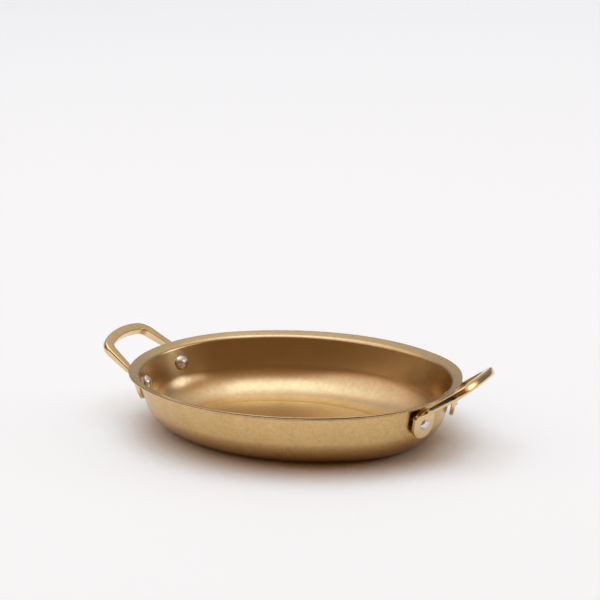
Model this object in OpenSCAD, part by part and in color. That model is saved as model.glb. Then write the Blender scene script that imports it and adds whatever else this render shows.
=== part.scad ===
// Oval metal dish with two riveted loop handles.
// Millimetres, up is +Z, the dish is centred on the origin and stands on Z = 0.

/* [Dish] */
// Length of the dish over the rim, without the handles.
dish_l = 165; // [150:1:190]
// Width of the dish over the rim.
dish_w = 125; // [118:1:136]
// Height from the standing face to the top of the rim.
dish_h = 29.6; // [27:0.1:40]
// How far the middle of each long side stands out beyond the end arcs, seen from above.
side_bow = 8.5; // [6:0.5:12]
// Thickness of the pressed sheet.
sheet_t = 1; // [0.8:0.1:1.3]

/* [Rim] */
// Width of the flared lip, measured flat, outside the wall.
lip_w = 4.4; // [3.6:0.1:6]
// Slope of the lip above level, in degrees.
lip_tilt = 18; // [5:1:25]
// Radius of the bend under the lip.
bend_r = 1.5; // [1:0.1:2.5]

/* [Wall] */
// Lean of the wall away from upright, in degrees.
wall_tilt = 14.4; // [8:0.2:18]
// Outer radius where the wall turns into the floor.
corner_r = 19; // [12:0.5:20]

/* [Floor] */
// Width of the flat ring that the dish stands on.
foot_w = 1.2; // [1:0.1:4]
// Width of the ramp from the ring up to the raised floor.
ramp_w = 1.6; // [1.4:0.1:3]
// Height of the raised floor above the ring.
raise_h = 1.6; // [0.6:0.1:2]

/* [Handle loop] */
// Slope of the loop above level, in degrees.
loop_tilt = 34; // [26:1:40]
// Reach of the loop beyond the end of the dish, along its own slope.
loop_reach = 18; // [15:0.5:30]
// Height of the top of the loop over the rim, where it crosses the end of the dish.
loop_lift = 0.8; // [0.4:0.1:2]
// Distance between the centres of the loop's two corner arcs.
loop_gap = 21.4; // [18:0.2:24]
// Outer radius of the loop's corners.
loop_r = 9; // [6:0.5:10]
// Outer radius of the loop's bowed end.
bow_r = 45; // [36:1:60]
// Spread of each leg towards the dish, in degrees.
leg_spread = 8; // [4:1:10]
// Width of the bar of the loop.
bar_w = 3.6; // [3:0.1:4.5]
// Thickness of the bar at the outer end of the loop.
bar_t = 3.9; // [3:0.1:4.5]
// Thickness of the bar where a leg comes in under the rim.
root_t = 3; // [2.4:0.1:3.4]
// Rounding along the edges of the bar.
bar_edge_r = 0.9; // [0.5:0.1:1.2]

/* [Handle feet] */
// Width of the flat foot that is riveted to the wall.
foot_plate_w = 12; // [10:0.5:13]
// Thickness of the foot.
foot_plate_t = 2; // [1.6:0.1:2.4]
// Space between the flat foot and the round wall.
foot_plate_gap = 0.5; // [0.2:0.1:0.8]
// Height of the foot above the rivet, up to the bend into the leg.
foot_plate_up = 4; // [3.4:0.1:4.4]
// Depth of the centre of the foot's round end below the rivet.
foot_plate_down = 1.2; // [0.4:0.1:1.6]

/* [Rivets] */
// Distance of each rivet from the middle plane of the dish.
rivet_y = 16.6; // [16:0.2:18]
// Depth of the rivets below the top of the rim.
rivet_drop = 9.8; // [9:0.1:10.5]
// Diameter of the shank and of its outer end.
shank_d = 4.8; // [4:0.1:5.2]
// Diameter of the domed head inside the dish.
head_d = 6.8; // [6:0.1:8]
// Height of the domed head.
head_h = 2.2; // [1.6:0.1:3]
// Length of shank that stands out of the foot.
tail_l = 1.8; // [1:0.1:2.4]
// Clearance all round the shank in its holes.
rivet_fit = 0.1; // [0.05:0.05:0.2]

/* [Hidden] */
$fn = 96;
// Overrun of a cut beyond the faces that it goes through.
overrun = sheet_t;
// Pieces of one body run into each other by the lap, and one is slimmer by the tuck on each
// side, so that no two of their faces nearly coincide.
lap = 0.4 * sheet_t;
tuck = 0.02 * sheet_t;
// Thickness of the end slices of a hull.
slice = 0.05 * sheet_t;
// Steps along the section's two bends.
corner_steps = 14;
bend_steps = 6;

// The oval is four arcs: two of end_r and two of side_r, smooth where they meet.
half_l = dish_l / 2;
half_w = dish_w / 2;
end_r = half_w - side_bow;
end_x = half_l - end_r;
side_r = (end_x * end_x + half_w * half_w - end_r * end_r) / (2 * (half_w - end_r));
side_y = side_r - half_w;
side_a = atan2(end_x, side_y);
far = 2 * dish_l;

// Wall section: X is 0 at the rim's outermost edge and negative inwards.
edge_z = dish_h - sheet_t * cos(lip_tilt);
crease_z = edge_z - lip_w * tan(lip_tilt);
crease_a = (90 + wall_tilt + lip_tilt) / 2;
bend_a = 270 - wall_tilt + crease_a;
bend_x = bend_r / sin(crease_a) * cos(bend_a) - lip_w;
bend_z = bend_r / sin(crease_a) * sin(bend_a) + crease_z;
corner_top_z = corner_r - corner_r * sin(wall_tilt);
corner_top_x = -lip_w - (crease_z - corner_top_z) * tan(wall_tilt);
corner_x = corner_top_x - corner_r * cos(wall_tilt);
ring_x = corner_x - foot_w;
ramp_x = ring_x - ramp_w;

// Where a rivet's axis meets the outside of the wall.
rivet_z = dish_h - rivet_drop;
rivet_wall_r = end_r - lip_w - (crease_z - rivet_z) * tan(wall_tilt);
rivet_a = asin(rivet_y / rivet_wall_r);
rivet_x = end_x + rivet_wall_r * cos(rivet_a);
shank_hole_d = shank_d + 2 * rivet_fit;
head_seat = sheet_t + head_d * head_d / (8 * (rivet_wall_r - sheet_t)) + rivet_fit;
head_ball_r = (head_d * head_d / 4 + head_h * head_h) / (2 * head_h);
foot_top = foot_plate_gap + foot_plate_t;

// Loop plan, in its own plane: U runs outwards from the end of the dish, V along Y.
loop_v = loop_gap / 2;
bow_mid_r = bow_r - bar_w / 2;
loop_mid_r = loop_r - bar_w / 2;
bow_u = loop_reach - bow_r;
loop_u = bow_u + sqrt((bow_r - loop_r) * (bow_r - loop_r) - loop_v * loop_v);
bow_a = atan2(loop_v, loop_u - bow_u);
leg_u = loop_u + loop_mid_r * sin(leg_spread);
leg_v = loop_v + loop_mid_r * cos(leg_spread);
// Where the leg ends under the rim, as a share of the reach.
leg_end_share = 0.24;
leg_l = (leg_u + leg_end_share * loop_reach) / cos(leg_spread);

function arc_point(x, z, r, a) = [x + r * cos(a), z + r * sin(a)];

// Bar section with its upper face on Y = 0 and its middle on X = 0.
function bar_corner(x, y, r, a) = [for (k = [0:2]) arc_point(x, y, r, a + 45 * k)];
function bar_points(w, t, r) = concat(
    bar_corner(w / 2 - r, -r, r, 0),
    bar_corner(r - w / 2, -r, r, 90),
    bar_corner(r - w / 2, r - t, r, 180),
    bar_corner(w / 2 - r, r - t, r, 270));

function arc_points(x, z, r, from, to, steps) =
    [for (k = [0:steps]) arc_point(x, z, r, from + (to - from) * k / steps)];

// Section of the pressed sheet from the lip's edge to the raised floor.
module wall_section(slim) {
    out_x = -slim * (sin(lip_tilt) + cos(lip_tilt));
    out_z = slim * (cos(lip_tilt) - sin(lip_tilt));
    top_x = slim * (sin(lip_tilt) - cos(lip_tilt));
    top_z = -slim * (cos(lip_tilt) + sin(lip_tilt));
    low = slim;
    high = sheet_t - slim;
    polygon(concat(
        [[out_x, edge_z + out_z]],
        arc_points(bend_x, bend_z, bend_r + low, 90 + lip_tilt, 180 - wall_tilt, bend_steps),
        arc_points(corner_x, corner_r, corner_r - low, -wall_tilt, -90, corner_steps),
        [[ring_x, low], [ramp_x, raise_h + low], [ramp_x - lap, raise_h + low]],
        [[ramp_x - lap, raise_h + high], [ramp_x, raise_h + high], [ring_x, high]],
        arc_points(corner_x, corner_r, corner_r - high, -90, -wall_tilt, corner_steps),
        arc_points(bend_x, bend_z, bend_r + high, 180 - wall_tilt, 90 + lip_tilt, bend_steps),
        [[top_x - sheet_t * sin(lip_tilt), dish_h + top_z]]));
}

// The oval, drawn inwards from the rim by an inset. Its side arcs are slimmer by the tuck.
module oval(inset) {
    for (s = [-1, 1])
        translate([s * end_x, 0])
            circle(end_r - inset);
    intersection() {
        translate([0, side_y])
            circle(side_r - inset - tuck);
        translate([0, -side_y])
            circle(side_r - inset - tuck);
        polygon([[end_x, 0], [end_x + far * sin(side_a), far * cos(side_a)],
            [-end_x - far * sin(side_a), far * cos(side_a)], [-end_x, 0],
            [-end_x - far * sin(side_a), -far * cos(side_a)],
            [end_x + far * sin(side_a), -far * cos(side_a)]]);
    }
}

// Puts its children on a rivet's axis: Z points out of the wall and X down it.
module at_rivet(end, side) {
    mirror([end < 0 ? 1 : 0, 0, 0])
        mirror([0, side < 0 ? 1 : 0, 0])
            translate([rivet_x, rivet_y, rivet_z])
                rotate([0, 0, rivet_a])
                    rotate([0, 90 + wall_tilt, 0])
                        children();
}

module dish_body() {
    lap_a = asin(lap / side_r);
    color([0.70, 0.56, 0.36])
        difference() {
            union() {
                for (turn = [0, 180]) {
                    rotate([0, 0, turn])
                        translate([end_x, 0, 0])
                            rotate_extrude(angle = 180 - 2 * side_a, start = side_a - 90)
                                translate([end_r, 0])
                                    wall_section(0);
                    rotate([0, 0, turn])
                        translate([0, -side_y, 0])
                            rotate_extrude(angle = 2 * (side_a + lap_a), start = 90 - side_a - lap_a)
                                translate([side_r, 0])
                                    wall_section(tuck);
                }
                linear_extrude(sheet_t)
                    difference() {
                        oval(tuck - corner_x);
                        oval(-ring_x - tuck);
                    }
                translate([0, 0, raise_h])
                    linear_extrude(sheet_t)
                        oval(lap / 2 - ramp_x);
            }
            for (end = [-1, 1])
                for (side = [-1, 1])
                    at_rivet(end, side)
                        translate([0, 0, -sheet_t - overrun])
                            cylinder(h = sheet_t + 2 * overrun, d = shank_hole_d);
        }
}

// Section of the bar, slimmer by an amount on each side.
module bar_section(thick, slim) {
    translate([0, -slim])
        polygon(bar_points(bar_w - 2 * slim, thick - 2 * slim, bar_edge_r));
}

// Slice of a leg at a distance down the leg from the corner arc.
module leg_slice(along, thick, slim, side) {
    translate([leg_u - along * cos(leg_spread), side * (leg_v + along * sin(leg_spread)), 0])
        rotate([0, 0, side * (90 - leg_spread)])
            rotate([90, 0, 0])
                linear_extrude(slice, center = true)
                    bar_section(thick, slim);
}

module at_loop() {
    translate([half_l, 0, dish_h + loop_lift])
        rotate([0, -loop_tilt, 0])
            children();
}

module foot_plate() {
    translate([0, 0, foot_plate_gap])
        difference() {
            union() {
                translate([foot_plate_down, 0, 0])
                    cylinder(h = foot_plate_t, d = foot_plate_w);
                translate([-foot_plate_up, -foot_plate_w / 2, 0])
                    cube([foot_plate_up + foot_plate_down, foot_plate_w, foot_plate_t]);
            }
            translate([0, 0, -overrun])
                cylinder(h = foot_plate_t + 2 * overrun, d = shank_hole_d);
        }
}

module handle() {
    lap_a = asin(lap / bow_mid_r);
    at_loop() {
        translate([bow_u, 0, 0])
            rotate_extrude(angle = 2 * (bow_a + lap_a), start = -bow_a - lap_a)
                translate([bow_mid_r, 0])
                    bar_section(bar_t, tuck);
        for (side = [-1, 1])
            translate([loop_u, side * loop_v, 0])
                rotate_extrude(angle = 90 - leg_spread - bow_a,
                    start = side > 0 ? bow_a : leg_spread - 90)
                    translate([loop_mid_r, 0])
                        bar_section(bar_t, 0);
    }
    for (side = [-1, 1]) {
        at_loop()
            hull() {
                leg_slice(-lap, bar_t, tuck, side);
                leg_slice(leg_l, root_t, tuck, side);
            }
        hull() {
            at_loop()
                leg_slice(leg_l - lap, root_t, 2 * tuck, side);
            at_rivet(1, side)
                translate([lap - foot_plate_up, tuck - foot_plate_w / 2, foot_plate_gap + tuck])
                    cube([slice, foot_plate_w - 2 * tuck, foot_plate_t - 2 * tuck]);
        }
        at_rivet(1, side)
            foot_plate();
    }
}

module handle_right() {
    color([0.84, 0.70, 0.45])
        handle();
}

module handle_left() {
    color([0.84, 0.70, 0.45])
        rotate([0, 0, 180])
            handle();
}

module rivet() {
    color([0.80, 0.79, 0.80]) {
        translate([0, 0, -head_seat])
            cylinder(h = head_seat + foot_top + tail_l, d = shank_d);
        intersection() {
            translate([0, 0, head_ball_r - head_h - head_seat])
                sphere(head_ball_r);
            translate([0, 0, -head_seat - head_d])
                cylinder(h = head_d, d = head_d + lap);
        }
    }
}

module rivet_left_front() {
    at_rivet(-1, -1)
        rivet();
}

module rivet_left_back() {
    at_rivet(-1, 1)
        rivet();
}

module rivet_right_front() {
    at_rivet(1, -1)
        rivet();
}

module rivet_right_back() {
    at_rivet(1, 1)
        rivet();
}

dish_body();
handle_left();
handle_right();
rivet_left_front();
rivet_left_back();
rivet_right_front();
rivet_right_back();
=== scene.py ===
import math

import bmesh
import bpy
from mathutils import Matrix, Vector


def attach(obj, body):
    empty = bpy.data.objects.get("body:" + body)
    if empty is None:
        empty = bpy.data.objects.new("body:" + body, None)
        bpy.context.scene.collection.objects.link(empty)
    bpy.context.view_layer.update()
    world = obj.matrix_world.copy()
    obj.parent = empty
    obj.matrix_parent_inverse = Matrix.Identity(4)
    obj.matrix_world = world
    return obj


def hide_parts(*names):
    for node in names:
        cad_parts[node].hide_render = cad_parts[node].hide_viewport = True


# Oval serving dish in pale gold metal, with two loop handles held by steel rivets.
# Pieces are drawn in millimetres in the frame's own place and scaled to metres at the end.

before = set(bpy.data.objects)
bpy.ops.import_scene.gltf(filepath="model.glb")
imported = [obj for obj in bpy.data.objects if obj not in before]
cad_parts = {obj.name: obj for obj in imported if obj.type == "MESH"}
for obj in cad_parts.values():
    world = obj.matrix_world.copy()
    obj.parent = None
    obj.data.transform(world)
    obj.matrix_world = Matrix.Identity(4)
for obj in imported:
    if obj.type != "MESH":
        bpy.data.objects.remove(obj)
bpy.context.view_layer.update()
scene = bpy.context.scene
mm = 0.001
mergeGap = 0.002    # points closer than this become one
sharpTurn = 1.2     # an edge that turns by more radians than this is a sharp one
flatCorners = 9     # a face with this many corners or more is a large flat one
print("dish: frame loaded with", len(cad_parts), "nodes")


def turned(axis, degrees):
    return Matrix.Rotation(math.radians(degrees), 4, axis)


def moved(x, y, z):
    return Matrix.Translation((x, y, z))


def onlyVerts(geom):
    return [g for g in geom if isinstance(g, bmesh.types.BMVert)]


def onlyEdges(geom):
    return [g for g in geom if isinstance(g, bmesh.types.BMEdge)]


def wire(bm, points):
    verts = [bm.verts.new(p) for p in points]
    for pair in zip(verts, verts[1:]):
        bm.edges.new(pair)
    return verts


def roundCorner(bm, vert, radius, steps):
    # offset of a vertex bevel that leaves a true arc of this radius
    first, second = [e.other_vert(vert).co - vert.co for e in vert.link_edges]
    turn = math.pi - first.angle(second)
    bmesh.ops.bevel(bm, geom=[vert], offset=radius * math.tan(turn / 2), offset_type="OFFSET",
                    segments=steps, profile=0.5, affect="VERTICES", material=-1,
                    clamp_overlap=False)


def roundEdges(bm, edges, radius, steps):
    sharp = [e for e in edges if e.calc_face_angle() > sharpTurn]
    bmesh.ops.bevel(bm, geom=sharp, offset=radius, offset_type="OFFSET", segments=steps,
                    profile=0.5, affect="EDGES", material=-1)


def spinRound(bm, geom, centre, degrees, steps, axis=(0, 0, 1)):
    done = bmesh.ops.spin(bm, geom=geom, cent=centre, axis=axis, dvec=(0, 0, 0),
                          angle=math.radians(degrees), steps=steps, use_merge=False,
                          use_duplicate=False)
    return done["geom_last"]


def newPiece(bm, name, materials):
    mesh = bpy.data.meshes.new(name)
    bm.to_mesh(mesh)
    bm.free()
    for material in materials:
        mesh.materials.append(material)
    piece = bpy.data.objects.new(name, mesh)
    scene.collection.objects.link(piece)
    return piece


def finishPiece(bm, name, materials, node):
    bmesh.ops.scale(bm, vec=(mm, mm, mm), verts=bm.verts)
    piece = newPiece(bm, name, materials)
    for face in piece.data.polygons:
        face.use_smooth = len(face.vertices) < flatCorners
    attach(piece, "root")
    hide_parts(node)
    return piece


# Shader groups shared by the metals. Object coordinates are metres, so a scale of 1000 is 1 mm.

mixFirst, mixSecond, mixResult = 6, 7, 2    # a colour mix node's own sockets


def addNode(tree, kind, **settings):
    node = tree.nodes.new(kind)
    for key, value in settings.items():
        setattr(node, key, value)
    return node


def newGroup(name, inputs, outputs):
    group = bpy.data.node_groups.new(name, "ShaderNodeTree")
    for label, value in inputs:
        socket = group.interface.new_socket(label, in_out="INPUT", socket_type="NodeSocketFloat")
        socket.default_value = value
    for label in outputs:
        group.interface.new_socket(label, in_out="OUTPUT", socket_type="NodeSocketFloat")
    source = addNode(group, "NodeGroupInput")
    result = addNode(group, "NodeGroupOutput")
    return group, source, result


def mathNode(tree, operation, a, b, clamp=False):
    node = addNode(tree, "ShaderNodeMath", operation=operation, use_clamp=clamp)
    for socket, value in zip(node.inputs, (a, b)):
        if isinstance(value, (int, float)):
            socket.default_value = value
        else:
            tree.links.new(value, socket)
    return node.outputs[0]


def noiseNode(tree, vector, scale, detail, roughness=0.5):
    node = addNode(tree, "ShaderNodeTexNoise")
    node.inputs["Scale"].default_value = scale
    node.inputs["Detail"].default_value = detail
    node.inputs["Roughness"].default_value = roughness
    tree.links.new(vector, node.inputs["Vector"])
    return node.outputs["Fac"]


def mapRange(tree, value, low, high, toLow=0.0, toHigh=1.0):
    node = addNode(tree, "ShaderNodeMapRange", clamp=True)
    node.inputs["From Min"].default_value = low
    node.inputs["From Max"].default_value = high
    node.inputs["To Min"].default_value = toLow
    node.inputs["To Max"].default_value = toHigh
    tree.links.new(value, node.inputs["Value"])
    return node.outputs["Result"]


# each set of scratches: its turn in degrees, then its noise scale along and across
hairlines = {"sets": (((12, 8, 20), 90, 3600), ((-35, 20, 75), 70, 4200),
                      ((50, -30, -48), 110, 3000)),
             "detail": 2, "band": (0.62, 0.72), "depth": 0.6}


def makeScratchGroup():
    # hairline scratches that run three ways, each a noise drawn out along one direction
    group, source, result = newGroup("hairScratches", [("Amount", 1.0)], ["Mask"])
    place = addNode(group, "ShaderNodeTexCoord").outputs["Object"]
    total = None
    for turn, along, across in hairlines["sets"]:
        mapping = addNode(group, "ShaderNodeMapping")
        mapping.inputs["Rotation"].default_value = [math.radians(a) for a in turn]
        mapping.inputs["Scale"].default_value = (along, across, across)
        group.links.new(place, mapping.inputs["Vector"])
        streak = noiseNode(group, mapping.outputs["Vector"], 1.0, hairlines["detail"])
        line = mapRange(group, streak, *hairlines["band"])
        total = line if total is None else mathNode(group, "MAXIMUM", total, line)
    group.links.new(mathNode(group, "MULTIPLY", total, source.outputs["Amount"]),
                    result.inputs["Mask"])
    return group


# noise scale, detail and roughness of the satin's marks, from broad to fine
satinMarks = {"cloud": (85, 4, 0.6), "patch": (420, 3, 0.6), "speckle": (1900, 2, 0.7),
              "band": (0.3, 0.7), "swing": (-0.5, 0.5), "middle": 0.5, "patchHeight": 0.6}


def makeTumbleGroup():
    # satin of a tumbled sheet: broad cloudy patches and a fine speckle
    group, source, result = newGroup("tumbledSatin", [("Cloud", 1.0), ("Speckle", 1.0)],
                                     ["Tone", "Height"])
    place = addNode(group, "ShaderNodeTexCoord").outputs["Object"]
    cloud, patch, speckle = [
        mapRange(group, noiseNode(group, place, *satinMarks[mark]), *satinMarks["band"],
                 *satinMarks["swing"]) for mark in ("cloud", "patch", "speckle")]
    broad = mathNode(group, "MULTIPLY", mathNode(group, "ADD", cloud, patch),
                     source.outputs["Cloud"])
    fine = mathNode(group, "MULTIPLY", speckle, source.outputs["Speckle"])
    tone = mathNode(group, "ADD", mathNode(group, "ADD", broad, fine), satinMarks["middle"])
    raised = mathNode(group, "MULTIPLY", patch, satinMarks["patchHeight"])
    group.links.new(tone, result.inputs["Tone"])
    group.links.new(mathNode(group, "ADD", raised, fine), result.inputs["Height"])
    return group


rubAndSheen = {"samples": 6, "noise": (350, 3), "band": (0.35, 0.6), "least": 0.35}


def makeEdgeGroup():
    # rubbed edges, also a painted highlight along them: where a rounded copy of the surface
    # normal leaves the real one
    group, source, result = newGroup("rubbedEdgeAndSheen", [("Radius", 0.0005), ("Reach", 0.1)], ["Mask"])
    bevel = addNode(group, "ShaderNodeBevel", samples=rubAndSheen["samples"])
    group.links.new(source.outputs["Radius"], bevel.inputs["Radius"])
    geometry = addNode(group, "ShaderNodeNewGeometry")
    product = addNode(group, "ShaderNodeVectorMath", operation="DOT_PRODUCT")
    group.links.new(bevel.outputs["Normal"], product.inputs[0])
    group.links.new(geometry.outputs["Normal"], product.inputs[1])
    away = mathNode(group, "SUBTRACT", 1.0, product.outputs["Value"])
    share = mathNode(group, "DIVIDE", away, source.outputs["Reach"], clamp=True)
    place = addNode(group, "ShaderNodeTexCoord").outputs["Object"]
    patchy = mapRange(group, noiseNode(group, place, *rubAndSheen["noise"]), *rubAndSheen["band"],
                      rubAndSheen["least"], 1.0)
    group.links.new(mathNode(group, "MULTIPLY", share, patchy), result.inputs["Mask"])
    return group


scratchGroup = makeScratchGroup()
tumbleGroup = makeTumbleGroup()
edgeGroup = makeEdgeGroup()


def useGroup(tree, group, **values):
    node = addNode(tree, "ShaderNodeGroup", node_tree=group)
    for label, value in values.items():
        node.inputs[label].default_value = value
    return node


def mixColour(tree, share, first, second):
    node = addNode(tree, "ShaderNodeMix", data_type="RGBA")
    tree.links.new(share, node.inputs["Factor"])
    for socket, value in ((node.inputs[mixFirst], first), (node.inputs[mixSecond], second)):
        if isinstance(value, tuple):
            socket.default_value = (*value, 1)
        else:
            tree.links.new(value, socket)
    return node.outputs[mixResult]


def makeMetal(name, look):
    material = bpy.data.materials.new(name)
    material.use_nodes = True
    tree = material.node_tree
    shader = tree.nodes["Principled BSDF"]
    shader.inputs["Metallic"].default_value = 1.0
    satin = useGroup(tree, tumbleGroup, Cloud=look["cloud"], Speckle=look["speckle"])
    scratches = useGroup(tree, scratchGroup, Amount=look["scratch"])
    edges = useGroup(tree, edgeGroup, Radius=look["edgeRadius"], Reach=look["edgeReach"])
    toned = mixColour(tree, satin.outputs["Tone"], look["dark"], look["light"])
    scored = mixColour(tree, scratches.outputs["Mask"], toned, look["scored"])
    # edges take the worn colour: wear, and also a painted highlight line, strongest on the
    # handles
    colour = mixColour(tree, mathNode(tree, "MULTIPLY", edges.outputs["Mask"], look["edge"]),
                       scored, look["wornAndSheen"])
    if "low" in look:
        # painted shade: darker towards the foot, standing in for the shadowed floor that the
        # lower wall mirrors
        place = addNode(tree, "ShaderNodeTexCoord").outputs["Object"]
        split = addNode(tree, "ShaderNodeSeparateXYZ")
        tree.links.new(place, split.inputs[0])
        low = mapRange(tree, split.outputs["Z"], *look["lowBand"], 1, 0)
        colour = mixColour(tree, low, colour, look["low"])
    tree.links.new(colour, shader.inputs["Base Color"])
    lowRough, highRough = look["roughness"]
    rough = mapRange(tree, satin.outputs["Tone"], 0, 1, highRough, lowRough)
    rough = mathNode(tree, "ADD", rough,
                     mathNode(tree, "MULTIPLY", scratches.outputs["Mask"], look["scratchRough"]))
    tree.links.new(rough, shader.inputs["Roughness"])
    height = mathNode(tree, "SUBTRACT", satin.outputs["Height"],
                      mathNode(tree, "MULTIPLY", scratches.outputs["Mask"], hairlines["depth"]))
    bump = addNode(tree, "ShaderNodeBump")
    bump.inputs["Strength"].default_value = look["bump"]
    bump.inputs["Distance"].default_value = look["depth"]
    tree.links.new(height, bump.inputs["Height"])
    tree.links.new(bump.outputs["Normal"], shader.inputs["Normal"])
    return material


# colours and finish of each metal, its lengths in metres
metals = {
    "goldOutside": {"dark": (0.57, 0.37, 0.15), "light": (0.76, 0.52, 0.245),
                    "scored": (0.82, 0.62, 0.35), "wornAndSheen": (0.86, 0.72, 0.48),
                    # low is the colour of the painted shade towards the foot, fading out over its
                    # band of heights
                    "low": (0.36, 0.19, 0.065), "lowBand": (0.001, 0.014),
                    "roughness": (0.19, 0.30), "cloud": 0.32, "speckle": 0.75, "scratch": 0.35,
                    "scratchRough": 0.06, "bump": 0.25, "depth": 0.00006,
                    "edge": 0.25, "edgeRadius": 0.0006, "edgeReach": 0.12},
    "goldInside": {"dark": (0.61, 0.47, 0.265), "light": (0.73, 0.585, 0.36),
                   "scored": (0.80, 0.66, 0.44), "wornAndSheen": (0.86, 0.72, 0.48),
                   "roughness": (0.20, 0.27), "cloud": 0.5, "speckle": 0.35, "scratch": 0.15,
                   "scratchRough": 0.05, "bump": 0.06, "depth": 0.00003,
                   "edge": 0.25, "edgeRadius": 0.0006, "edgeReach": 0.12},
    # on the handles the edge colour is near white and strong: a painted highlight line along the
    # edges as well as wear
    "handleGold": {"dark": (0.72, 0.535, 0.285), "light": (0.84, 0.665, 0.39),
                   "scored": (0.88, 0.72, 0.46), "wornAndSheen": (0.97, 0.90, 0.74),
                   "roughness": (0.13, 0.21), "cloud": 0.4, "speckle": 0.25, "scratch": 0.3,
                   "scratchRough": 0.08, "bump": 0.12, "depth": 0.00004,
                   "edge": 0.8, "edgeRadius": 0.0006, "edgeReach": 0.12},
    "rivetSteel": {"dark": (0.70, 0.68, 0.72), "light": (0.88, 0.86, 0.90),
                   "scored": (0.92, 0.91, 0.93), "wornAndSheen": (0.95, 0.95, 0.95),
                   "roughness": (0.24, 0.34), "cloud": 0.4, "speckle": 0.3, "scratch": 0.3,
                   "scratchRough": 0.08, "bump": 0.12, "depth": 0.00004,
                   "edge": 0.5, "edgeRadius": 0.0004, "edgeReach": 0.15},
}
goldOutside = makeMetal("goldOutside", metals["goldOutside"])
goldInside = makeMetal("goldInside", metals["goldInside"])
handleGold = makeMetal("handleGold", metals["handleGold"])
rivetSteel = makeMetal("rivetSteel", metals["rivetSteel"])
print("dish: metals ready")

# Pressed bowl. Its rim is four arcs that meet smoothly: two ends and two long sides.
dish = {"length": 165, "width": 125, "height": 29.6, "sideBow": 8.5, "sheet": 1,
        "lipWidth": 4.4, "lipTilt": 18, "lipBend": 1.5, "wallTilt": 14.4, "cornerRadius": 19,
        "footRing": 1.2, "ramp": 3.4, "raise": 1.6, "floorBend": 1.1, "floorEase": 6,
        "floorStart": 2, "floorInset": 0.8, "edgeRound": 0.3,
        "lipRowShare": 0.15,    # the row of faces along the lip's edge, as a share of the lip
        "lipSteps": 8, "cornerSteps": 26, "bendSteps": 5, "easeSteps": 8, "edgeSteps": 4,
        "endSteps": 88, "sideSteps": 44}

endR = dish["width"] / 2 - dish["sideBow"]
endX = dish["length"] / 2 - endR
sideR = (endX ** 2 + (dish["width"] / 2) ** 2 - endR ** 2) / (2 * dish["sideBow"])
sideY = sideR - dish["width"] / 2
sideTurn = math.degrees(math.atan2(endX, sideY))
wallSlope = math.tan(math.radians(dish["wallTilt"]))
edgeZ = dish["height"] - dish["sheet"] * math.cos(math.radians(dish["lipTilt"]))
creaseZ = edgeZ - dish["lipWidth"] * math.tan(math.radians(dish["lipTilt"]))


def spinOval(bm, section):
    # from where the right end begins, through the four arcs and back again
    for centre, turn, steps in (((endX, 0, 0), 180 - 2 * sideTurn, dish["endSteps"]),
                                ((0, -sideY, 0), 2 * sideTurn, dish["sideSteps"]),
                                ((-endX, 0, 0), 180 - 2 * sideTurn, dish["endSteps"]),
                                ((0, sideY, 0), 2 * sideTurn, dish["sideSteps"])):
        section = spinRound(bm, section, centre, turn, steps)
    bmesh.ops.remove_doubles(bm, verts=bm.verts, dist=mergeGap)


def makeBowl():
    bm = bmesh.new()
    lipX, lipZ = -dish["lipWidth"], creaseZ
    kneeX = lipX - creaseZ * wallSlope
    flatX = kneeX - dish["cornerRadius"] * math.tan(math.radians(45 - dish["wallTilt"] / 2))
    ringX = flatX - dish["footRing"]
    rampX = ringX - dish["ramp"]
    # outer skin from the lip's edge to the floor, drawn where the right end points along +X
    rim = endX + endR
    row = dish["lipRowShare"]
    verts = wire(bm, [(rim, 0, edgeZ), (rim + lipX * row, 0, edgeZ + (lipZ - edgeZ) * row),
                      (rim + lipX, 0, lipZ), (rim + kneeX, 0, 0), (rim + ringX, 0, 0),
                      (rim + rampX, 0, dish["raise"]),
                      (rim + rampX - dish["floorStart"], 0, dish["raise"])])
    crease, knee, ringEnd, rampTop = verts[2:6]
    roundCorner(bm, crease, dish["lipBend"], dish["lipSteps"])
    roundCorner(bm, knee, dish["cornerRadius"], dish["cornerSteps"])
    roundCorner(bm, ringEnd, dish["floorBend"], dish["bendSteps"])
    roundCorner(bm, rampTop, dish["floorEase"], dish["easeSteps"])
    bmesh.ops.rotate(bm, verts=bm.verts, cent=(endX, 0, 0),
                     matrix=Matrix.Rotation(math.radians(sideTurn - 90), 3, "Z"))
    spinOval(bm, bm.verts[:] + bm.edges[:])
    # the floor closes the lower of the two open edges
    hole = [e for e in bm.edges if e.is_boundary and e.verts[0].co.z < creaseZ]
    floor = bmesh.ops.contextual_create(bm, geom=hole)["faces"]
    bmesh.ops.inset_region(bm, faces=floor, thickness=dish["floorInset"], use_boundary=True,
                           use_even_offset=True)
    bmesh.ops.recalc_face_normals(bm, faces=bm.faces)
    if floor[0].normal.z > 0:
        bmesh.ops.reverse_faces(bm, faces=bm.faces)
    outer = bm.faces[:]
    bmesh.ops.solidify(bm, geom=outer, thickness=dish["sheet"])
    outside = set(outer)
    roundEdges(bm, bm.edges, dish["edgeRound"], dish["edgeSteps"])
    for face in bm.faces:
        face.material_index = 0 if face in outside else 1
    return finishPiece(bm, "bowl", [goldOutside, goldInside], "dish_body")


bowl = makeBowl()
print("dish: bowl has", len(bowl.data.polygons), "faces")

# Rivets: a domed head inside, a rounded end outside. The foot under it stands off the wall.
rivet = {"y": 16.6, "drop": 9.8, "shank": 4.8, "head": 7.2, "headHeight": 2.3, "headRim": 0.35,
         "rimRound": 0.25, "tail": 1.0, "tailRound": 1.3, "fit": 0.1,
         "domeSteps": 12, "rimSteps": 4, "tailSteps": 9, "steps": 56}
foot = {"width": 12, "thick": 2, "gap": 1.3, "up": 5.5, "down": 1.2, "round": 0.4,
        "shoulder": 2.4, "shoulderSteps": 8, "endSteps": 28}

rivetZ = dish["height"] - rivet["drop"]
rivetWallR = endR - dish["lipWidth"] - (creaseZ - rivetZ) * wallSlope
rivetTurn = math.degrees(math.asin(rivet["y"] / rivetWallR))
rivetX = endX + rivetWallR * math.cos(math.radians(rivetTurn))


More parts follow.
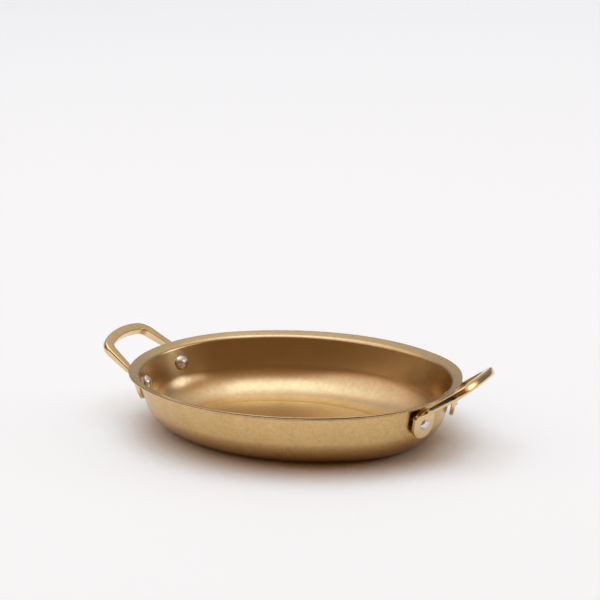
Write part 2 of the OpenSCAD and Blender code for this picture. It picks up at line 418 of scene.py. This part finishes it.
def rivetPlace(side):
    # on the wall at the right end: Z out of the wall, X down along it, side 1 is the back
    place = (moved(rivetX, rivet["y"], rivetZ) @ turned("Z", rivetTurn)
             @ turned("Y", 90 + dish["wallTilt"]))
    return place if side > 0 else Matrix.Diagonal((1, -1, 1, 1)) @ place


def makeRivet(node, end, side):
    bm = bmesh.new()
    # the head's rim sits clear of the wall, which curves towards it
    curve = rivet["head"] ** 2 / (8 * (rivetWallR - dish["sheet"]))
    seat = dish["sheet"] + curve + rivet["fit"]
    rise = rivet["headHeight"] - rivet["headRim"]
    ball = (rivet["head"] ** 2 / 4 + rise ** 2) / (2 * rise)
    half = math.degrees(math.asin(rivet["head"] / 2 / ball))
    top = bm.verts.new((0, 0, -seat - rivet["headHeight"]))
    rimVert = spinRound(bm, [top], (0, 0, ball - seat - rivet["headHeight"]), half,
                        rivet["domeSteps"], axis=(0, -1, 0))[0]
    low = bm.verts.new((rivet["head"] / 2, 0, -seat))
    under = bm.verts.new((rivet["shank"] / 2, 0, -seat))
    tailZ = foot["gap"] + foot["thick"] + rivet["tail"]
    corner = bm.verts.new((rivet["shank"] / 2, 0, tailZ))
    middle = bm.verts.new((0, 0, tailZ))
    for pair in ((rimVert, low), (low, under), (under, corner), (corner, middle)):
        bm.edges.new(pair)
    roundCorner(bm, corner, rivet["tailRound"], rivet["tailSteps"])
    roundCorner(bm, rimVert, rivet["rimRound"], rivet["rimSteps"])
    bmesh.ops.spin(bm, geom=bm.verts[:] + bm.edges[:], cent=(0, 0, 0), axis=(0, 0, 1),
                   dvec=(0, 0, 0), angle=math.tau, steps=rivet["steps"], use_merge=True,
                   use_duplicate=False)
    bmesh.ops.remove_doubles(bm, verts=bm.verts, dist=mergeGap)
    place = rivetPlace(side)
    if end < 0:
        place = Matrix.Diagonal((-1, 1, 1, 1)) @ place
    bmesh.ops.transform(bm, matrix=place, verts=bm.verts)
    bmesh.ops.recalc_face_normals(bm, faces=bm.faces)
    return finishPiece(bm, node + "Steel", [rivetSteel], node)


for end, endName in ((-1, "left"), (1, "right")):
    for side, sideName in ((-1, "front"), (1, "back")):
        makeRivet("rivet_" + endName + "_" + sideName, end, side)
print("dish: rivets ready")

# Loop handles, drawn flat and then tilted: X runs outwards from the end of the dish.
loop = {"tilt": 34, "reach": 17.94, "lift": 0.78, "gap": 21.4, "cornerR": 9, "bowR": 45,
        "spread": 8, "barW": 3.6, "barT": 3.9, "rootT": 3, "widen": 1.2,
        "legEndShare": 0.24,    # how far the leg goes on past the rim, as a share of the reach
        "innerRound": 0.5, "topRound": 0.9, "lowRound": 1.3,
        "edgeSteps": 6, "bowSteps": 14, "cornerSteps": 22, "legSteps": 6}

loopPlace = (moved(dish["length"] / 2, 0, dish["height"] + loop["lift"])
             @ turned("Y", -loop["tilt"]))
cornerMidR = loop["cornerR"] - loop["barW"] / 2
bowX = loop["reach"] - loop["bowR"]
cornerY = loop["gap"] / 2
cornerX = bowX + math.sqrt((loop["bowR"] - loop["cornerR"]) ** 2 - cornerY ** 2)
bowTurn = math.degrees(math.atan2(cornerY, cornerX - bowX))
spread = math.radians(loop["spread"])
legStart = cornerX + cornerMidR * math.sin(spread)
legLength = (legStart + loop["legEndShare"] * loop["reach"]) / math.cos(spread)


def drawLeg(bm, section):
    # narrows on its inner side and thins towards its root
    steps = loop["legSteps"]
    run = legLength / steps
    thinning = loop["rootT"] - loop["barT"]
    outward = Vector((math.sin(spread), math.cos(spread), 0))
    for step in range(steps):
        section = bmesh.ops.extrude_edge_only(bm, edges=onlyEdges(section))["geom"]
        verts = onlyVerts(section)
        bmesh.ops.translate(bm, verts=verts, vec=(-run * math.cos(spread),
                                                  run * math.sin(spread), 0))
        across = [v.co.dot(outward) for v in verts]
        inner, outer = min(across), max(across)
        for vert, at in zip(verts, across):
            vert.co += outward * loop["widen"] / steps * ((outer - at) / (outer - inner))
        before = loop["barT"] + thinning * step / steps
        after = loop["barT"] + thinning * (step + 1) / steps
        bmesh.ops.scale(bm, verts=verts, vec=(1, 1, after / before))
    return section


def drawBar(bm):
    # back half: the bar's section where the bow crosses the middle plane, its upper face at
    # zero height, then round the bow and the corner and along the leg
    outerX, low = loop["reach"], -loop["barT"]
    innerX = outerX - loop["barW"] - loop["widen"]
    corners = wire(bm, [(innerX, 0, 0), (outerX, 0, 0), (outerX, 0, low), (innerX, 0, low)])
    bm.edges.new((corners[3], corners[0]))
    for corner, radius in zip(corners, ("innerRound", "topRound", "lowRound", "innerRound")):
        roundCorner(bm, corner, loop[radius], loop["edgeSteps"])
    section = spinRound(bm, bm.verts[:] + bm.edges[:], (bowX, 0, 0), bowTurn, loop["bowSteps"])
    section = spinRound(bm, section, (cornerX, cornerY, 0), 90 - loop["spread"] - bowTurn,
                        loop["cornerSteps"])
    section = drawLeg(bm, section)
    bmesh.ops.transform(bm, matrix=loopPlace, verts=bm.verts)
    return onlyEdges(section)


def drawFoot(bm):
    # a flat plate with a round lower end, drawn with X down the wall and Z out of it; its
    # narrow top is left open for the leg
    known = set(bm.verts)
    half = foot["width"] / 2
    topBack = bm.verts.new((-foot["up"], half, foot["gap"]))
    lowBack = bm.verts.new((foot["down"], half, foot["gap"]))
    bm.edges.new((topBack, lowBack))
    lowFront = onlyVerts(spinRound(bm, [lowBack], (foot["down"], 0, foot["gap"]), -180,
                                   foot["endSteps"]))[0]
    topFront = bm.verts.new((-foot["up"], -half, foot["gap"]))
    bm.edges.new((lowFront, topFront))
    bm.edges.new((topFront, topBack))
    for shoulder in (topBack, topFront):
        roundCorner(bm, shoulder, foot["shoulder"], foot["shoulderSteps"])
    outline = [v for v in bm.verts if v not in known]
    bottom = bmesh.ops.contextual_create(bm, geom=outline)["faces"]
    raised = bmesh.ops.extrude_face_region(bm, geom=bottom)["geom"]
    bmesh.ops.translate(bm, vec=(0, 0, foot["thick"]), verts=onlyVerts(raised))
    bmesh.ops.recalc_face_normals(bm, faces=[f for f in bm.faces if known.isdisjoint(f.verts)])
    roundEdges(bm, [e for e in bm.edges if known.isdisjoint(e.verts)], foot["round"],
               loop["edgeSteps"])
    plate = [v for v in bm.verts if v not in known]
    topFace = min((f for f in bm.faces if known.isdisjoint(f.verts)),
                  key=lambda f: f.calc_center_median().x)
    topEdges = list(topFace.edges)
    bmesh.ops.delete(bm, geom=[topFace], context="FACES_ONLY")
    bmesh.ops.transform(bm, matrix=rivetPlace(1), verts=plate)
    return topEdges


def makeHandle(node, end):
    bm = bmesh.new()
    legEdges = drawBar(bm)
    topEdges = drawFoot(bm)
    bmesh.ops.bridge_loops(bm, edges=legEdges + topEdges)
    # front half
    bmesh.ops.mirror(bm, geom=bm.verts[:] + bm.edges[:] + bm.faces[:], axis="Y",
                     merge_dist=mergeGap)
    bmesh.ops.remove_doubles(bm, verts=bm.verts, dist=mergeGap)
    bmesh.ops.recalc_face_normals(bm, faces=bm.faces)
    if end < 0:
        bmesh.ops.rotate(bm, verts=bm.verts, cent=(0, 0, 0),
                         matrix=Matrix.Rotation(math.pi, 3, "Z"))
    return finishPiece(bm, node + "Bar", [handleGold], node)


for end, endName in ((-1, "left"), (1, "right")):
    handle = makeHandle("handle_" + endName, end)
print("dish: handles ready,", len(handle.data.polygons), "faces each")

# Stage: a wide pale floor under a cloth tent that is bright on top and warm and dim low down.
# Its sizes are in metres and its angles in degrees.
studio = {"floor": (0.94, 0.94, 0.94), "floorSize": 5.8, "floorDrop": 0.0001,
          "tentSize": 3, "tentSides": 32, "tentRings": 16, "tentFoot": -0.02,
          # strength of the cloth by the sine of the elevation, none above clothTop
          "cloth": ((0.0, 0.145), (0.17, 0.175), (0.34, 0.20), (0.5, 0.23), (0.64, 0.31),
                    (0.77, 0.42), (0.87, 0.66), (0.94, 0.98), (0.985, 1.25), (1.0, 1.50)),
          "clothTop": 2,
          # soft boxes behind it: azimuth from the front to the right, elevation, angle of the
          # even middle, angle of the faded edge, strength
          "boxes": ((-62, 46, 12, 40, 0.72), (118, 22, 4, 17, 1.55), (112, 45, 12, 38, 0.20),
                    (95, 30, 4, 15, 0.55), (-160, 42, 15, 55, 0.30), (0, 78, 6, 24, 0.40)),
          # the cloth is warm where it is dim, except towards the back
          "dimColour": (1.0, 0.47, 0.14), "brightColour": (1.0, 0.97, 0.95),
          "dimLevel": 0.10, "brightLevel": 1.35, "paleBack": (-160, 15, 30, 95, 0.85),
          "skyColour": (0.55, 0.78, 0.98), "sky": 1.43, "skyAngle": 55,
          # dark card standing in front on the right, only mirrored: its near corners
          "card": ((0.045, -0.115), (0.125, -0.115)), "cardHeight": 0.04,
          "cardColour": (0.012, 0.010, 0.008),
          "paintRoughness": 0.9, "paintShine": 0.1,
          # white room beyond the tent: as a lamp, and as the camera and the metal see it
          "roomLight": 0.4, "roomSeen": 1.0}


def makePaint(name, colour):
    material = bpy.data.materials.new(name)
    material.use_nodes = True
    shader = material.node_tree.nodes["Principled BSDF"]
    shader.inputs["Base Color"].default_value = (*colour, 1)
    shader.inputs["Roughness"].default_value = studio["paintRoughness"]
    shader.inputs["Specular IOR Level"].default_value = studio["paintShine"]
    return material


def makeFloor():
    bm = bmesh.new()
    bmesh.ops.create_grid(bm, x_segments=1, y_segments=1, size=studio["floorSize"] / 2,
                          matrix=moved(0, 0, -studio["floorDrop"]))
    plane = newPiece(bm, "floorSweep", [makePaint("floorPaint", studio["floor"])])


def boxGlow(tree, way, azimuth, elevation, even, edge, strength):
    # fades from the box's even middle to its edge, by the angle from the box's own direction
    towards = turned("Z", azimuth) @ turned("X", -elevation) @ Vector((0, -1, 0))
    product = addNode(tree, "ShaderNodeVectorMath", operation="DOT_PRODUCT")
    tree.links.new(way, product.inputs[0])
    product.inputs[1].default_value = towards
    node = addNode(tree, "ShaderNodeMapRange", interpolation_type="SMOOTHSTEP")
    node.inputs["From Min"].default_value = math.cos(math.radians(edge))
    node.inputs["From Max"].default_value = math.cos(math.radians(even))
    node.inputs["To Max"].default_value = strength
    tree.links.new(product.outputs["Value"], node.inputs["Value"])
    return node.outputs["Result"]


def clothLevel(tree, height):
    # the curve node holds shares of clothTop
    cloth = addNode(tree, "ShaderNodeFloatCurve")
    curve = cloth.mapping.curves[0]
    shares = [(at, strength / studio["clothTop"]) for at, strength in studio["cloth"]]
    first, *between, last = shares
    curve.points[0].location = first
    curve.points[1].location = last
    for at, share in between:
        curve.points.new(at, share)
    cloth.mapping.update()
    tree.links.new(height, cloth.inputs["Value"])
    return mathNode(tree, "MULTIPLY", cloth.outputs[0], studio["clothTop"])


def makeCloth():
    material = bpy.data.materials.new("tentCloth")
    material.use_nodes = True
    tree = material.node_tree
    tree.nodes.remove(tree.nodes["Principled BSDF"])
    unit = addNode(tree, "ShaderNodeVectorMath", operation="NORMALIZE")
    tree.links.new(addNode(tree, "ShaderNodeTexCoord").outputs["Object"], unit.inputs[0])
    way = unit.outputs["Vector"]
    split = addNode(tree, "ShaderNodeSeparateXYZ")
    tree.links.new(way, split.inputs[0])
    level = clothLevel(tree, split.outputs["Z"])
    for box in studio["boxes"]:
        level = mathNode(tree, "ADD", level, boxGlow(tree, way, *box))
    hue = mathNode(tree, "MAXIMUM", boxGlow(tree, way, *studio["paleBack"]),
                   mapRange(tree, level, studio["dimLevel"], studio["brightLevel"]))
    glow = addNode(tree, "ShaderNodeEmission")
    tree.links.new(mixColour(tree, hue, studio["dimColour"], studio["brightColour"]),
                   glow.inputs["Color"])
    tree.links.new(level, glow.inputs["Strength"])
    tree.links.new(glow.outputs[0], tree.nodes["Material Output"].inputs["Surface"])
    return material


def makeTent():
    bm = bmesh.new()
    bmesh.ops.create_uvsphere(bm, u_segments=studio["tentSides"], v_segments=studio["tentRings"],
                              radius=studio["tentSize"])
    bmesh.ops.bisect_plane(bm, geom=bm.verts[:] + bm.edges[:] + bm.faces[:],
                           plane_co=(0, 0, studio["tentFoot"]), plane_no=(0, 0, 1),
                           clear_inner=True)
    tent = newPiece(bm, "lightTent", [makeCloth()])
    tent.visible_camera = False
    tent.visible_shadow = False


def makeCard():
    # near black and seen by shiny rays alone, so it draws the dark edge along the handles
    bm = bmesh.new()
    wire(bm, [(x, y, 0) for x, y in studio["card"]])
    raised = bmesh.ops.extrude_edge_only(bm, edges=bm.edges[:])["geom"]
    bmesh.ops.translate(bm, vec=(0, 0, studio["cardHeight"]), verts=onlyVerts(raised))
    card = newPiece(bm, "darkCard", [makePaint("darkCard", studio["cardColour"])])
    card.visible_camera = False
    card.visible_diffuse = False
    card.visible_shadow = False


def makeSky():
    # cool, very soft light from straight above, only on what isn't shiny
    lamp = bpy.data.lights.new("softSky", "SUN")
    lamp.energy = studio["sky"]
    lamp.color = studio["skyColour"]
    lamp.angle = math.radians(studio["skyAngle"])
    holder = bpy.data.objects.new("softSky", lamp)
    holder.visible_glossy = False
    scene.collection.objects.link(holder)


def makeRoom():
    # beyond the tent all is white, also where the metal mirrors it
    world = bpy.data.worlds.new("paleRoom")
    world.use_nodes = True
    scene.world = world
    tree = world.node_tree
    light = tree.nodes["Background"]
    seen = addNode(tree, "ShaderNodeBackground")
    for shader, strength in ((light, studio["roomLight"]), (seen, studio["roomSeen"])):
        shader.inputs["Color"].default_value = (1, 1, 1, 1)
        shader.inputs["Strength"].default_value = strength
    path = addNode(tree, "ShaderNodeLightPath")
    direct = mathNode(tree, "MAXIMUM", path.outputs["Is Camera Ray"],
                      mathNode(tree, "MAXIMUM", path.outputs["Is Glossy Ray"],
                               path.outputs["Is Transmission Ray"]))
    blend = addNode(tree, "ShaderNodeMixShader")
    tree.links.new(direct, blend.inputs[0])
    tree.links.new(light.outputs[0], blend.inputs[1])
    tree.links.new(seen.outputs[0], blend.inputs[2])
    tree.links.new(blend.outputs[0], tree.nodes["World Output"].inputs["Surface"])


makeFloor()
makeTent()
makeCard()
makeSky()
makeRoom()
print("dish: stage ready")

# Camera: the photograph's angle, a long lens from one metre away. Angles are in degrees, places
# in metres from the middle of the rim, the lens and its sensor in millimetres.
shot = {"azimuth": 28.703, "elevation": 16.4445, "roll": -2.2827, "distance": 1.0,
        "right": 0.00315289, "up": 0.03359799, "lens": 126.883, "sensor": 36,
        "near": 0.05, "far": 20}
longLens = bpy.data.cameras.new("photoCamera")
longLens.sensor_width = shot["sensor"]
longLens.lens = shot["lens"]
longLens.clip_start = shot["near"]
longLens.clip_end = shot["far"]
camera = bpy.data.objects.new("photoCamera", longLens)
camera.matrix_world = (moved(0, 0, dish["height"] * mm) @ turned("Z", shot["azimuth"])
                       @ turned("X", 90 - shot["elevation"]) @ turned("Z", shot["roll"])
                       @ moved(shot["right"], shot["up"], shot["distance"]))
scene.collection.objects.link(camera)
scene.camera = camera
scene.view_settings.view_transform = "Standard"
print("dish: camera ready")
